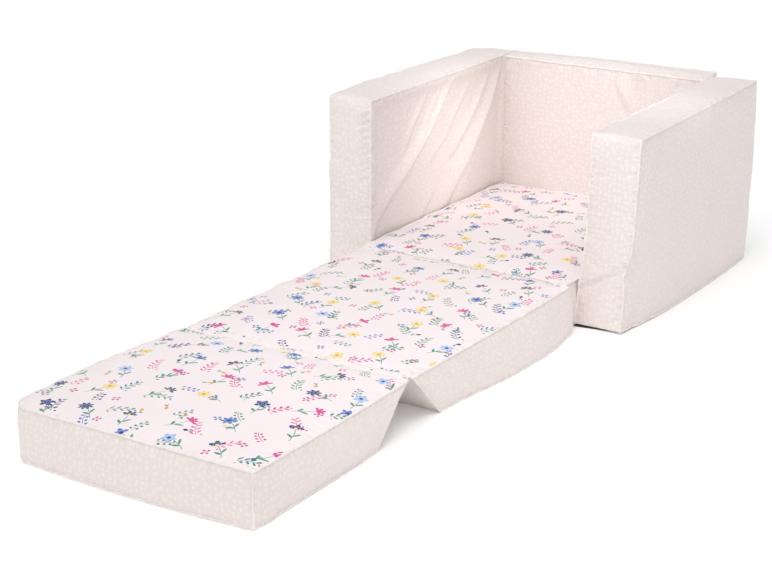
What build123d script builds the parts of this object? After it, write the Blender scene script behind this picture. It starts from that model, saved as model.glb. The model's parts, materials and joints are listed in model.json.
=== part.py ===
from build123d import *
import os

os.makedirs("parts", exist_ok=True)

# Open foam sofa for a toddler, in millimetres. X runs across the seat, Y from the
# foot end to the back, Z up. The sofa stands on Z = 0 with both folding pads laid out.

# Surround: two arms and the back between them
arm_thickness = 97
arm_height = 370
arm_depth = 588
space_between_arms = 464
back_thickness = 60
back_overhang = 10
arm_rear_radius_left = 45
arm_rear_radius_right = 24
surround_edge_cut = 4
surround_end_radius = 9
surround_crown = 4
surround_side_crown = 3
surround_inner_crown = 1.5
surround_front_bulge = 3
back_clearance = 0.6

# Pads: the seat between the arms, then the middle and end pads that fold
pad_side_clearance = 3
pad_thickness = 91
pad_crown = 4
pad_side_crown = 3
pad_drawn_in = 5
pad_edge_cut = 4
pad_end_radius = 8
pad_crease_radius = 4
middle_rear_low_radius = 18
pad_end_bulge = 5
pad_joint_bulge = 1.5
seat_lead = 40
seat_back_clearance = 2
middle_length = 553
end_length = 425

# Folding seams
hinge_rise = 0.5
hinge_gap = 0.3
mitre_gap = 0.6
seam_tape_width = 12
seam_tape_thickness = 0.8
seam_tape_setback = 9
seam_tape_end_margin = 22

# Padded covers, foam blocks and base cloth
cover_thickness = 4
foam_ease = 0.4
panel_seam_drop = 7
base_thickness = 1.5
base_radius = 16
base_setback = 4

# Zips
zip_length = 330
zip_width = 20
zip_ease = 0.2
zip_slider_length = 14
zip_slider_width = 9
zip_tape_thickness = 1.2
zip_slot_depth = 3
zip_slider_share = 0.42
base_zip_setback = 60

# Making of the soft forms: room outside the fullest point, share of the crown that is
# left at the ends, and count of cross-sections
trim_ease = 0.3
end_fullness_share = 0.4
station_count = 5

# Positions worked out from the sizes above
overall_width = space_between_arms + 2 * arm_thickness
inner_x = space_between_arms / 2
outer_x = overall_width / 2
pad_half = inner_x - surround_inner_crown - pad_side_clearance
back_inner_depth = arm_depth + back_overhang - back_thickness
front_reach = seat_lead + middle_length + end_length
rear_reach = arm_depth + back_overhang
arm_front = (front_reach - rear_reach) / 2
arm_rear = arm_front + arm_depth
back_front = arm_front + back_inner_depth
back_rear = arm_front + rear_reach
hinge_y = arm_front - seat_lead
crease_y = hinge_y - middle_length
foot_y = crease_y - end_length
pad_top = pad_thickness
hinge_z = pad_top + pad_crown + hinge_rise
diagonal = 2 ** 0.5
mitre_angle = 45
spare = surround_crown + pad_end_bulge + 2 * trim_ease


def crowned_outline(y, x_range, z_range, edge_cut, bulges):
    """Cross-section at one Y: flat base, crowned sides and top, and a narrow flat at each seam."""
    x_low, x_high = x_range
    z_low, z_high = z_range
    left_bulge, right_bulge, top_bulge = bulges
    middle_x = (x_low + x_high) / 2
    middle_z = (z_low + z_high) / 2
    base_left = (x_low + edge_cut, y, z_low)
    base_right = (x_high - edge_cut, y, z_low)
    right_low = (x_high, y, z_low + edge_cut)
    right_high = (x_high, y, z_high - edge_cut)
    top_right = (x_high - edge_cut, y, z_high)
    top_left = (x_low + edge_cut, y, z_high)
    left_high = (x_low, y, z_high - edge_cut)
    left_low = (x_low, y, z_low + edge_cut)
    return Wire([
        Line(base_left, base_right),
        Line(base_right, right_low),
        ThreePointArc(right_low, (x_high + right_bulge, y, middle_z), right_high),
        Line(right_high, top_right),
        ThreePointArc(top_right, (middle_x, y, z_high + top_bulge), top_left),
        Line(top_left, left_high),
        ThreePointArc(left_high, (x_low - left_bulge, y, middle_z), left_low),
        Line(left_low, base_left),
    ])


def crowned_bar(x_range, y_range, z_range, edge_cut, bulges, drawn_in):
    """Long soft form along Y, fullest at mid length and drawn in towards its ends."""
    outlines = []
    for station in range(station_count):
        share = station / (station_count - 1)
        swell = 4 * share * (1 - share)
        fullness = end_fullness_share + (1 - end_fullness_share) * swell
        y = y_range[0] - spare + (y_range[1] - y_range[0] + 2 * spare) * share
        shift = drawn_in * (1 - swell)
        width = (x_range[0] + shift, x_range[1] - shift)
        station_bulges = [bulge * fullness for bulge in bulges]
        outlines.append(crowned_outline(y, width, z_range, edge_cut, station_bulges))
    return Solid.make_loft(outlines)


def side_prism(points, bulges, radii, x_range):
    """Solid whose side view is four corners joined by a base, two bulged ends and a top."""
    front_low, rear_low, rear_high, front_high = points
    front_bulge, rear_bulge = bulges

    def end(start, finish, bulge):
        if bulge == 0:
            return Line((0, *start), (0, *finish))
        middle = (0, (start[0] + finish[0]) / 2 + bulge, (start[1] + finish[1]) / 2)
        return ThreePointArc((0, *start), middle, (0, *finish))

    face = Face(Wire([
        Line((0, *front_low), (0, *rear_low)),
        end(rear_low, rear_high, rear_bulge),
        Line((0, *rear_high), (0, *front_high)),
        end(front_high, front_low, front_bulge),
    ]))
    corners = [front_low, rear_low, rear_high, front_high]
    for corner, radius in zip(corners, radii):
        if radius:
            nearest = face.vertices().sort_by_distance((0, *corner))[0]
            face = face.fillet_2d(radius, [nearest])
    width = x_range[1] - x_range[0]
    return Solid.extrude(face, Vector(width, 0, 0)).move(Location((x_range[0], 0, 0)))


def plan_prism(x_range, y_range, z_range, radii):
    """Upright block whose four plan corners are rounded: front left, front right, rear right, rear left."""
    corners = [
        (x_range[0], y_range[0], z_range[0]),
        (x_range[1], y_range[0], z_range[0]),
        (x_range[1], y_range[1], z_range[0]),
        (x_range[0], y_range[1], z_range[0]),
    ]
    face = Face(Wire.make_polygon(corners, close=True))
    for corner, radius in zip(corners, radii):
        if radius:
            nearest = face.vertices().sort_by_distance(corner)[0]
            face = face.fillet_2d(radius, [nearest])
    return Solid.extrude(face, Vector(0, 0, z_range[1] - z_range[0]))


def slab(x_range, y_range, z_range):
    """Plain box between two limits on each axis."""
    size = [high - low for low, high in (x_range, y_range, z_range)]
    centre = [(low + high) / 2 for low, high in (x_range, y_range, z_range)]
    return Solid.make_box(*size).move(Location([c - s / 2 for c, s in zip(centre, size)]))


def eased(limits, reach):
    """Limits moved out by a reach and the trimming ease, so that a trim never just grazes."""
    return (limits[0] - reach - trim_ease, limits[1] + reach + trim_ease)


def one_solid(shape):
    """The single solid of a cut or common result."""
    return max(shape.solids(), key=lambda piece: piece.volume)


def arm_form(side, rear_radius):
    """Outer form of an arm; side is -1 for the left arm and 1 for the right."""
    x_range = sorted((side * inner_x, side * outer_x))
    bulges = (surround_side_crown, surround_inner_crown, surround_crown)
    if side > 0:
        bulges = (surround_inner_crown, surround_side_crown, surround_crown)
    form = crowned_bar(
        x_range, (arm_front, arm_rear), (base_thickness, arm_height),
        surround_edge_cut, bulges, 0,
    )
    top = arm_height + surround_crown + trim_ease
    wide = eased(x_range, surround_side_crown)
    front = arm_front + surround_front_bulge
    profile = [(front, base_thickness), (arm_rear, base_thickness), (arm_rear, top), (front, top)]
    radius = surround_end_radius
    form = form & side_prism(profile, (-surround_front_bulge, 0), [radius] * 4, wide)
    rear_radii = [radius, rear_radius] if side < 0 else [rear_radius, radius]
    plan = plan_prism(
        wide, eased((arm_front, arm_rear), 0), (base_thickness, top), [radius, radius, *rear_radii]
    )
    return one_solid(form & plan)


def arm_core(side, rear_radius, inset):
    """Square-edged block inside an arm, every face drawn in by the inset."""
    low, high = sorted((side * inner_x, side * outer_x))
    inner_radii = [0, rear_radius - inset] if side < 0 else [rear_radius - inset, 0]
    return plan_prism(
        (low + inset, high - inset),
        (arm_front + surround_front_bulge + inset, arm_rear - inset),
        (base_thickness + inset, arm_height - inset),
        [0, 0, *inner_radii],
    )


def back_form():
    """Outer form of the back between the arms, lofted along Y and turned to lie along X."""
    half = inner_x - surround_inner_crown - back_clearance
    depth = back_thickness - surround_crown
    bulges = (surround_inner_crown, surround_crown, surround_crown)
    form = crowned_bar(
        (0, depth), (-half, half), (base_thickness, arm_height), surround_edge_cut, bulges, 0
    )
    top = arm_height + surround_crown + trim_ease
    wide = eased((0, depth), surround_crown)
    radii = [surround_end_radius] * 4
    profile = [(-half, base_thickness), (half, base_thickness), (half, top), (-half, top)]
    form = form & side_prism(profile, (0, 0), radii, wide)
    form = form & plan_prism(wide, eased((-half, half), 0), (base_thickness, top), radii)
    return one_solid(form).rotate(Axis.Z, 90).move(Location((0, back_front, 0)))


def back_core(inset):
    """Square-edged block inside the back."""
    half = inner_x - surround_inner_crown - back_clearance - inset
    return slab(
        (-half, half),
        (back_front + inset, back_rear - surround_crown - inset),
        (base_thickness + inset, arm_height - inset),
    )


def pad_ends(y_range, z_low, top, mitre, bulges, inset):
    """Side view corners of a pad between two seams: front low, rear low, rear high, front high."""
    slope_in = (mitre_gap + inset) * diagonal
    front_low = front_high = y_range[0] + bulges[0] + inset
    rear_low = rear_high = y_range[1] - bulges[1] - inset
    if mitre < 0:
        front_low = y_range[0] + slope_in + hinge_z - z_low
        front_high = y_range[0] + slope_in + hinge_z - top
    if mitre > 0:
        rear_low = y_range[1] - slope_in - hinge_z + z_low
        rear_high = y_range[1] - slope_in - hinge_z + top
    return [(front_low, z_low), (rear_low, z_low), (rear_high, top), (front_high, top)]


def pad_form(y_range, z_low, mitre, end_bulges):
    """Outer form of a pad; mitre is -1 for a sloping front end, 1 for a sloping rear end."""
    top = pad_top + pad_crown + trim_ease
    form = crowned_bar(
        (-pad_half, pad_half), y_range, (z_low, pad_top), pad_edge_cut,
        (pad_side_crown, pad_side_crown, pad_crown), pad_drawn_in,
    )
    radii = [pad_end_radius] * 4
    bulges = list(end_bulges)
    if mitre < 0:
        radii = [pad_end_radius, middle_rear_low_radius, pad_end_radius, pad_crease_radius]
        bulges[0] = 0
    if mitre > 0:
        radii[2] = pad_crease_radius
        bulges[1] = 0
    wide = eased((-pad_half, pad_half), pad_side_crown)
    corners = pad_ends(y_range, z_low, top, mitre, end_bulges, 0)
    form = form & side_prism(corners, (-bulges[0], bulges[1]), radii, wide)
    plan = plan_prism(wide, eased(y_range, 0), (z_low, top), [pad_end_radius] * 4)
    return one_solid(form & plan)


def pad_core(y_range, z_low, mitre, end_bulges, inset):
    """Square-edged block inside a pad, its sloping end parallel to the cover's."""
    half = pad_half - pad_drawn_in - inset
    corners = pad_ends(y_range, z_low + inset, pad_top - inset, mitre, end_bulges, inset)
    return side_prism(corners, (0, 0), [0] * 4, (-half, half))


def save(name, solid):
    export_step(solid, f"parts/{name}.step")


def save_panels(names, cover, axis, cuts):
    """Split a cover into three sewn panels at two planes across the axis and save each."""
    reach = overall_width + front_reach + rear_reach
    limits = [(-reach, cuts[0]), cuts, (cuts[1], reach)]
    for name, limit in zip(names, limits):
        ranges = [(-reach, reach)] * 3
        ranges[axis] = limit
        save(name, one_solid(cover & slab(*ranges)))


# Base cloth under the surround and the seat, with a slot for its zip
base_x = outer_x - base_setback
base = slab(
    (-base_x, base_x), (arm_front + base_setback, arm_rear - base_setback), (0, base_thickness)
)
base = base.fillet(base_radius, base.edges().filter_by(Axis.Z))
tab_x = pad_half - pad_drawn_in - base_setback
base = one_solid(base.fuse(slab(
    (-tab_x, tab_x), (hinge_y + pad_end_radius, arm_front + base_radius), (0, base_thickness)
)))
zip_rear = arm_rear - base_zip_setback
zip_slot = slab(
    (-zip_length / 2, zip_length / 2), (zip_rear - zip_width, zip_rear), (0, base_thickness)
)
save("base_cloth", one_solid(base - zip_slot))
save("base_zip_tape", slab(
    (-zip_length / 2 + zip_ease, zip_length / 2 - zip_ease),
    (zip_rear - zip_width + zip_ease, zip_rear - zip_ease),
    (zip_ease, base_thickness),
))

# Arms: a foam block in a padded cover of outer panel, boxing strip and inner panel
inner_cut = inner_x + panel_seam_drop
outer_cut = outer_x - panel_seam_drop
foam_inset = cover_thickness + foam_ease
for side, label, rear_radius in (
    (-1, "left", arm_rear_radius_left), (1, "right", arm_rear_radius_right)
):
    shell = arm_form(side, rear_radius) - arm_core(side, rear_radius, cover_thickness)
    names = [f"{label}_arm_{panel}" for panel in ("inner_panel", "boxing", "outer_panel")]
    cuts = (inner_cut, outer_cut)
    if side < 0:
        names.reverse()
        cuts = (-outer_cut, -inner_cut)
    save_panels(names, shell, 0, cuts)
    save(f"{label}_arm_foam", arm_core(side, rear_radius, foam_inset))

# Back: the same build, its panels facing the seat and the rear
shell = back_form() - back_core(cover_thickness)
cuts = (back_front + panel_seam_drop, back_rear - surround_crown - panel_seam_drop)
save_panels(["back_inner_panel", "back_boxing", "back_rear_panel"], shell, 1, cuts)
save("back_foam", back_core(foam_inset))


def mitre_zip(mitre):
    """Slot, tape and slider of the zip in the sloping end of a folding pad."""
    half = zip_length / 2
    slot = slab((-half, half), (-zip_slot_depth, zip_slot_depth), (-zip_width / 2, zip_width / 2))
    tape = slab(
        (-half + zip_ease, half - zip_ease),
        (zip_slot_depth - zip_tape_thickness, zip_slot_depth),
        (-zip_width / 2 + zip_ease, zip_width / 2 - zip_ease),
    )
    slider_x = half * zip_slider_share * mitre
    slider = slab(
        (slider_x - zip_slider_length / 2, slider_x + zip_slider_length / 2),
        (zip_ease, zip_slot_depth - zip_tape_thickness),
        (-zip_slider_width / 2, zip_slider_width / 2),
    )
    placed = []
    for piece in (slot, tape, slider):
        if mitre > 0:
            piece = piece.mirror(Plane.XZ)
        piece = piece.rotate(Axis.X, -mitre * mitre_angle)
        shift = mitre_gap * diagonal + hinge_z / 2
        placed.append(piece.move(Location((0, crease_y - mitre * shift, hinge_z / 2))))
    return placed


# Pads: foam in a padded cover of underside, side band and printed top
joint_end = hinge_gap + pad_joint_bulge
pads = (
    ("seat", (hinge_y, back_front - seat_back_clearance), base_thickness, 0),
    ("middle_pad", (crease_y, hinge_y), 0, -1),
    ("end_pad", (foot_y, crease_y), 0, 1),
)
forms = {}
for label, y_range, z_low, mitre in pads:
    bulges = (pad_end_bulge, joint_end) if mitre > 0 else (joint_end, joint_end)
    forms[label] = pad_form(y_range, z_low, mitre, bulges)
    shell = forms[label] - pad_core(y_range, z_low, mitre, bulges, cover_thickness)
    if mitre:
        slot, tape, slider = mitre_zip(mitre)
        shell = shell - slot
        save(f"{label}_zip_tape", tape)
        save(f"{label}_zip_slider", slider)
    names = [f"{label}_{panel}" for panel in ("underside", "side_band", "printed_top")]
    cuts = (z_low + panel_seam_drop, pad_top - panel_seam_drop)
    save_panels(names, shell, 2, cuts)
    save(f"{label}_foam", pad_core(y_range, z_low, mitre, bulges, foam_inset))

# Seam tapes laid on the printed tops beside the two folding seams
tape_x = pad_half - seam_tape_end_margin
for name, label, seam_y in (
    ("seat_seam_tape", "seat", hinge_y), ("middle_pad_seam_tape", "middle_pad", crease_y)
):
    raised = forms[label].moved(Location((0, 0, seam_tape_thickness)))
    band = slab(
        (-tape_x, tape_x),
        (seam_y + seam_tape_setback, seam_y + seam_tape_setback + seam_tape_width),
        (pad_top / 2, pad_top + 2 * pad_crown),
    )
    save(name, one_solid((raised & band) - forms[label]))
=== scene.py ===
import json
import math

import bpy
import numpy as np
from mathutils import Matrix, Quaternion, Vector


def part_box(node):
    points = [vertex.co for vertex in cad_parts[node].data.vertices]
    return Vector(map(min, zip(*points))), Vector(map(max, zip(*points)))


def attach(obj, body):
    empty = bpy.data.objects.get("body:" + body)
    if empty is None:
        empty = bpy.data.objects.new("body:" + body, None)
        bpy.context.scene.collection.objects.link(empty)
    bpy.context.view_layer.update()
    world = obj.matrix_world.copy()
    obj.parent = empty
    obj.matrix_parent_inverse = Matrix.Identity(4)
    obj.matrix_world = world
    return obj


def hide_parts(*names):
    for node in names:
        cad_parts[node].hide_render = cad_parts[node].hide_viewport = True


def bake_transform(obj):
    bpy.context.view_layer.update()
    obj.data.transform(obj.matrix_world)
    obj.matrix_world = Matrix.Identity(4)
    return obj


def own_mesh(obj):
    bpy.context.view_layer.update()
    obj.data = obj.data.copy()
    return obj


# Looks of the open foam sofa: padded covers with sewn panels, printed cloth, zips, floor,
# lights and camera. All sizes are in metres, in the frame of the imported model.
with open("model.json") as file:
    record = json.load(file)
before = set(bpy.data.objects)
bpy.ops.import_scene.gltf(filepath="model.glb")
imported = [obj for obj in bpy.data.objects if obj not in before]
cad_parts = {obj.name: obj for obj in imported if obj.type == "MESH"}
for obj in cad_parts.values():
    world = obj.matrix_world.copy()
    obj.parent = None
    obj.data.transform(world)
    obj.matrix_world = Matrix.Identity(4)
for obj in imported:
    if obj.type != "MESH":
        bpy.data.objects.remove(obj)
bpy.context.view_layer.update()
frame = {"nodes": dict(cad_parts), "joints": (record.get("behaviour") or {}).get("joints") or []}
scene = bpy.context.scene

# Lattice of the covers, and the roundness of their edges, tighter at joints
LATTICE_STEP = 0.0046
EDGE_ROWS = np.array((0, 0.002, 0.004, 0.0065, 0.0095))
EDGE_ROWS_SHARE = 0.4
EDGE_RADIUS = 0.0042
JOINT_RADIUS = 0.0025
JOINT_REACH = 0.016
TIGHT_BEFORE_BACK = 0.006
FLOOR_TIGHTNESS = 0.5
SAME_PLACE = 1e-6

# Random numbers that all smooth noise is read from, and the primes that pick one
NOISE_TABLE = 4096
NOISE_PRIMES = (73856093, 19349663, 83492791)

# Seam puckers: height, reach away from the seam and length along it. The tracks keep the
# noise of different seams apart.
FINE_PUCKER = (0.0007, 0.010, 0.013)
BROAD_PUCKER = (0.0011, 0.034, 0.042)
PINCH = 0.0006
PINCH_AWAY = 0.0045
PINCH_REACH = 0.0025
UNDULATION = 0.0011
UNDULATION_LENGTH = 0.085
UNDULATION_REACH = 0.03
SIDE_TRACK = 3
PANEL_TRACK = 7
CLEAR_OF_CORNER = (0.002, 0.016)
WELT_RADIUS = 0.0021
WELT_SIDES = 6

# Shifts of the cloth's map from side to side and from cover to cover
SIDE_SHIFT = (1.37, 0.83)
SEED_SHIFT = (0.61, 0.29)

# Cloth simulation
CLOTH_PRESSURE = 4
CLOTH_FRAMES = 14
CLOTH_CAP = 0.004
CLOTH_QUALITY = 4
CLOTH_MASS = 0.25
CLOTH_SHRINK = -0.004

X, Y, Z = 0, 1, 2


# Smooth value noise on a lattice of fixed random numbers
def value_noise(points, size, seed):
    table = np.random.default_rng(seed).uniform(-1, 1, NOISE_TABLE)
    scaled = np.asarray(points, float) / size
    cell = np.floor(scaled).astype(int)
    share = scaled - cell
    share = share * share * (3 - 2 * share)
    total = np.zeros(len(scaled))
    for corner in np.ndindex(2, 2, 2):
        place = cell + corner
        mixed = place * NOISE_PRIMES
        index = (mixed[:, 0] ^ mixed[:, 1] ^ mixed[:, 2]) % NOISE_TABLE
        weight = np.prod(np.where(corner, share, 1 - share), axis=1)
        total += table[index] * weight
    return total


def line_noise(along, size, seed):
    zeros = np.zeros_like(along)
    return value_noise(np.stack([along, zeros, zeros], axis=1), size, seed)


def rows(length, step=LATTICE_STEP):
    """Lattice lines from 0 to a length, closer together near both ends."""
    edge = EDGE_ROWS[EDGE_ROWS < length * EDGE_ROWS_SHARE]
    count = max(2, round((length - 2 * edge[-1]) / step) + 1)
    inner = np.linspace(edge[-1], length - edge[-1], count)
    return np.concatenate([edge[:-1], inner, length - edge[-2::-1]])


def box_surface(lines):
    """Points, quads and side numbers of the closed surface of a box lattice."""
    counts = [len(line) for line in lines]
    grid = np.indices(counts)
    on_side = np.zeros(counts, bool)
    for axis in (X, Y, Z):
        on_side |= (grid[axis] == 0) | (grid[axis] == counts[axis] - 1)
    index = np.full(counts, -1)
    index[on_side] = np.arange(on_side.sum())
    places = np.argwhere(on_side)
    points = np.stack([lines[axis][places[:, axis]] for axis in (X, Y, Z)], axis=1)
    quads = []
    sides = []
    for axis in (X, Y, Z):
        for end in (0, 1):
            sheet = np.take(index, -end, axis=axis)
            if axis == Y:
                sheet = sheet.T
            corners = [sheet[:-1, :-1], sheet[1:, :-1], sheet[1:, 1:], sheet[:-1, 1:]]
            if not end:
                corners.reverse()
            faces = np.stack([c.ravel() for c in corners], axis=1)
            quads.append(faces)
            sides.append(np.full(len(faces), 2 * axis + end))
    return points, np.concatenate(quads), np.concatenate(sides), places


def swell(share, power=2.4):
    """1 at the middle of a face and 0 at its edges."""
    return 1 - np.abs(2 * share - 1) ** power


def smooth_step(value, low, high):
    share = np.clip((value - low) / (high - low), 0, 1)
    return share * share * (3 - 2 * share)


def fading(value, reach):
    """1 at zero and 0 beyond a reach."""
    return 1 - smooth_step(value, 0, reach)


def close_to(gap):
    """1 at a joint and 0 beyond its reach."""
    return fading(gap, JOINT_REACH)


def bell(value, width):
    """1 at zero, falling to 0 on both sides."""
    return np.exp(-((value / width) ** 2))


def unit(vectors):
    """Vectors brought to a length of 1."""
    return vectors / np.maximum(np.linalg.norm(vectors, axis=1, keepdims=True), 1e-9)


def others(axis):
    """The two axes beside one."""
    return [other for other in (X, Y, Z) if other != axis]


def rounded(points, size, tightness):
    """Points of a sharp box on one with rounded edges, and their normals. The edges are
    tighter at the floor and where tightness nears 1."""
    tightness = np.maximum(tightness, FLOOR_TIGHTNESS * close_to(points[:, Z]))
    radius = (EDGE_RADIUS + (JOINT_RADIUS - EDGE_RADIUS) * tightness)[:, None]
    inner = np.clip(points, radius, np.array(size) - radius)
    normals = unit(points - inner)
    return inner + normals * radius, normals


def round_corner(points, normals, size, axes, ends, radius):
    """Round the corner where two sides meet; axes names their directions, ends is -1 or 1."""
    outs = []
    for axis, end in zip(axes, ends):
        centre = radius if end < 0 else size[axis] - radius
        outs.append((points[:, axis] - centre) * end)
    inside = (outs[0] > 0) & (outs[1] > 0)
    reach = np.maximum(outs[0], outs[1])
    turn = np.maximum(np.hypot(*outs), 1e-9)
    shrink = np.where(inside, reach / turn, 1)
    flat = inside & (reach > radius - EDGE_RADIUS)
    for out, axis, end in zip(outs, axes, ends):
        points[:, axis] += np.where(inside, end * out * (shrink - 1), 0)
        normals[flat, axis] = end * out[flat] / turn[flat]
    normals[flat] = unit(normals[flat])


def seam_places(points, size, panel_axis):
    """Distance of each point from the nearest panel seam, its place along that seam, and 0 to
    1 away from the panel's corners."""
    gaps = np.minimum(points, np.array(size) - points)
    first, second = others(panel_axis)
    nearer_first = gaps[:, first] <= gaps[:, second]
    away = gaps[:, panel_axis] + np.minimum(gaps[:, first], gaps[:, second])
    along = np.where(nearer_first, points[:, second], points[:, first] + SIDE_TRACK)
    along = along + np.where(points[:, panel_axis] > size[panel_axis] / 2, PANEL_TRACK, 0)
    corner = np.abs(gaps[:, first] - gaps[:, second])
    return away, along, smooth_step(corner, *CLEAR_OF_CORNER)


def puckered(points, normals, raw, size, panel_axis, seed):
    """Cloth that gathers at its seams and wavers over its foam."""
    away, along, clear = seam_places(raw, size, panel_axis)
    lift = np.zeros(len(points))
    for number, (height, reach, length) in enumerate((FINE_PUCKER, BROAD_PUCKER)):
        wave = line_noise(along, length, seed + number)
        drift = value_noise(raw, length * 4, seed + 5 + number)
        lift += clear * height * wave * (1 + drift) * np.exp(-away / reach)
    waver = value_noise(raw, UNDULATION_LENGTH, seed + 11)
    waver += 0.5 * value_noise(raw, UNDULATION_LENGTH / 2.2, seed + 12)
    lift += UNDULATION * waver * (1 - np.exp(-away / UNDULATION_REACH))
    lift -= PINCH * clear * bell(away - PINCH_AWAY, PINCH_REACH)
    return points + normals * lift[:, None]


def mesh_object(name, points, quads, uvs=None, slots=None):
    """A smooth shaded mesh, with a map of the cloth in metres where one is given."""
    mesh = bpy.data.meshes.new(name)
    mesh.from_pydata(points.tolist(), [], [list(face) for face in quads])
    mesh.polygons.foreach_set("use_smooth", np.ones(len(quads), bool))
    if uvs is not None:
        layer = mesh.uv_layers.new(name="cloth")
        layer.data.foreach_set("uv", uvs.astype(np.float32).ravel())
    if slots is not None:
        mesh.polygons.foreach_set("material_index", slots.astype(np.int32))
    mesh.update()
    obj = bpy.data.objects.new(name, mesh)
    scene.collection.objects.link(obj)
    return obj


def cloth_map(raw, quads, sides, seed):
    """Flat cloth coordinates of every face corner, in metres."""
    corners = raw[quads]
    uvs = np.empty(corners.shape[:2] + (2,))
    for side in range(6):
        chosen = sides == side
        uvs[chosen] = corners[chosen][:, :, others(side // 2)]
        uvs[chosen] += np.array(SIDE_SHIFT) * side + np.array(SEED_SHIFT) * seed
    return uvs.reshape(-1, 2)


def tube(name, line, normals, radius, closed=True):
    """A round welt along a line of points, as a closed loop or with capped ends."""
    if closed:
        tangent = np.roll(line, -1, axis=0) - np.roll(line, 1, axis=0)
    else:
        tangent = np.gradient(line, axis=0)
    tangent = unit(tangent)
    across = unit(np.cross(tangent, normals))
    out = np.cross(across, tangent)
    points = []
    for number in range(WELT_SIDES):
        turn = math.tau * number / WELT_SIDES
        points.append(line + radius * (math.cos(turn) * out + math.sin(turn) * across))
    points = np.stack(points, axis=1).reshape(-1, 3)
    start = np.arange(len(line) if closed else len(line) - 1)
    ring = start[:, None] * WELT_SIDES
    ahead = ((start + 1) % len(line))[:, None] * WELT_SIDES
    step = np.arange(WELT_SIDES)[None, :]
    turn_on = (step + 1) % WELT_SIDES
    quads = np.stack([ring + step, ahead + step, ahead + turn_on, ring + turn_on], axis=2)
    faces = quads.reshape(-1, 4)[:, ::-1].tolist()
    if not closed:
        last = (len(line) - 1) * WELT_SIDES
        faces.append(list(range(WELT_SIDES)))
        faces.append([last + number for number in reversed(range(WELT_SIDES))])
    return mesh_object(name, points, faces)


def panel_loop(places, counts, panel_axis, end):
    """Indices of the points along one panel's outline, in order."""
    first, second = others(panel_axis)
    level = (counts[panel_axis] - 1) * end
    last_first, last_second = counts[first] - 1, counts[second] - 1
    order = {}
    for number in np.flatnonzero(places[:, panel_axis] == level):
        order[(places[number, first], places[number, second])] = number
    walk = [(i, 0) for i in range(last_first)]
    walk += [(last_first, j) for j in range(last_second)]
    walk += [(i, last_second) for i in range(last_first, 0, -1)]
    walk += [(0, j) for j in range(last_second, 0, -1)]
    return np.array([order[step] for step in walk])


def read_points(mesh):
    points = np.empty(len(mesh.vertices) * 3)
    mesh.vertices.foreach_get("co", points)
    return points.reshape(-1, 3)


def write_points(mesh, points):
    mesh.vertices.foreach_set("co", points.ravel())
    mesh.update()


def settle(obj, pinned, cap=CLOTH_CAP):
    """Blow the cover up a little over its foam, the seams held, and keep the result."""
    start = read_points(obj.data)
    held = obj.vertex_groups.new(name="seams")
    held.add(pinned.tolist(), 1.0, "REPLACE")
    cloth = obj.modifiers.new("Cloth", "CLOTH")
    settings = cloth.settings
    settings.quality = CLOTH_QUALITY
    settings.mass = CLOTH_MASS
    settings.use_pressure = True
    settings.uniform_pressure_force = CLOTH_PRESSURE
    settings.effector_weights.gravity = 0
    settings.vertex_group_mass = held.name
    settings.shrink_min = CLOTH_SHRINK
    for number in range(1, CLOTH_FRAMES + 1):
        scene.frame_set(number)
    evaluated = obj.evaluated_get(bpy.context.evaluated_depsgraph_get())
    moved = read_points(evaluated.data) - start
    length = np.linalg.norm(moved, axis=1, keepdims=True)
    moved *= cap * np.tanh(length / cap) / np.maximum(length, 1e-9)
    obj.modifiers.remove(cloth)
    obj.vertex_groups.clear()
    scene.frame_set(1)
    return start + moved


def cushion(name, low, high, shape, panel_axis, seed, tight, printed=False):
    """One padded cover with its two seam welts. shape moves the rounded points, and tight
    says how sharp each point's edge is."""
    size = [high[axis] - low[axis] for axis in (X, Y, Z)]
    lines = [rows(length) for length in size]
    raw, quads, sides, places = box_surface(lines)
    points, normals = rounded(raw, size, tight(raw, size))
    points = puckered(points, normals, raw, size, panel_axis, seed)
    points = shape(points, normals, raw, size) + np.array(low)
    slots = (sides == 5).astype(int) if printed else np.zeros(len(sides), int)
    obj = mesh_object(name, points, quads, cloth_map(raw, quads, sides, seed), slots)
    counts = [len(line) for line in lines]
    loops = [panel_loop(places, counts, panel_axis, end) for end in (0, 1)]
    points = settle(obj, np.concatenate(loops))
    points[:, Z] = np.maximum(points[:, Z], low[Z])
    write_points(obj.data, points)
    seam = obj.data.attributes.new("seam", "FLOAT_VECTOR", "POINT")
    places_at_seam = np.stack(seam_places(raw, size, panel_axis), axis=1)
    seam.data.foreach_set("vector", places_at_seam.astype(np.float32).ravel())
    welts = []
    for end, loop in zip(("first", "second"), loops):
        welts.append(tube(f"{name}_{end}_welt", points[loop], normals[loop], WELT_RADIUS))
    return obj, welts, raw, points


def faces_out(points, raw, size, bulges):
    """Push each face out or in: bulges holds low X, high X, low Y, high Y, low Z, high Z."""
    shares = raw / np.array(size)
    moved = points.copy()
    for axis in (X, Y, Z):
        first, second = others(axis)
        full = swell(shares[:, first]) * swell(shares[:, second])
        low, high = bulges[2 * axis], bulges[2 * axis + 1]
        moved[:, axis] += full * (high * shares[:, axis] - low * (1 - shares[:, axis]))
    return moved


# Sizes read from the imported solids
def span(*nodes):
    """Low and high corner of several nodes together."""
    boxes = [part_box(node) for node in nodes]
    low = np.array([box[0] for box in boxes]).min(axis=0)
    high = np.array([box[1] for box in boxes]).max(axis=0)
    return low, high


def cover_nodes(label, panels):
    return [f"{label}_{panel}" for panel in panels]


ARM_PANELS = ("inner_panel", "boxing", "outer_panel", "foam")
BACK_PANELS = ("inner_panel", "boxing", "rear_panel", "foam")
PAD_PANELS = ("underside", "side_band", "printed_top", "foam")

joint_places = {joint["name"]: joint["pos_m"] for joint in frame["joints"]}
hinge_y, hinge_z = joint_places["middle_pad_flip"][1:]
crease_y = joint_places["end_pad_fold"][1]

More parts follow.
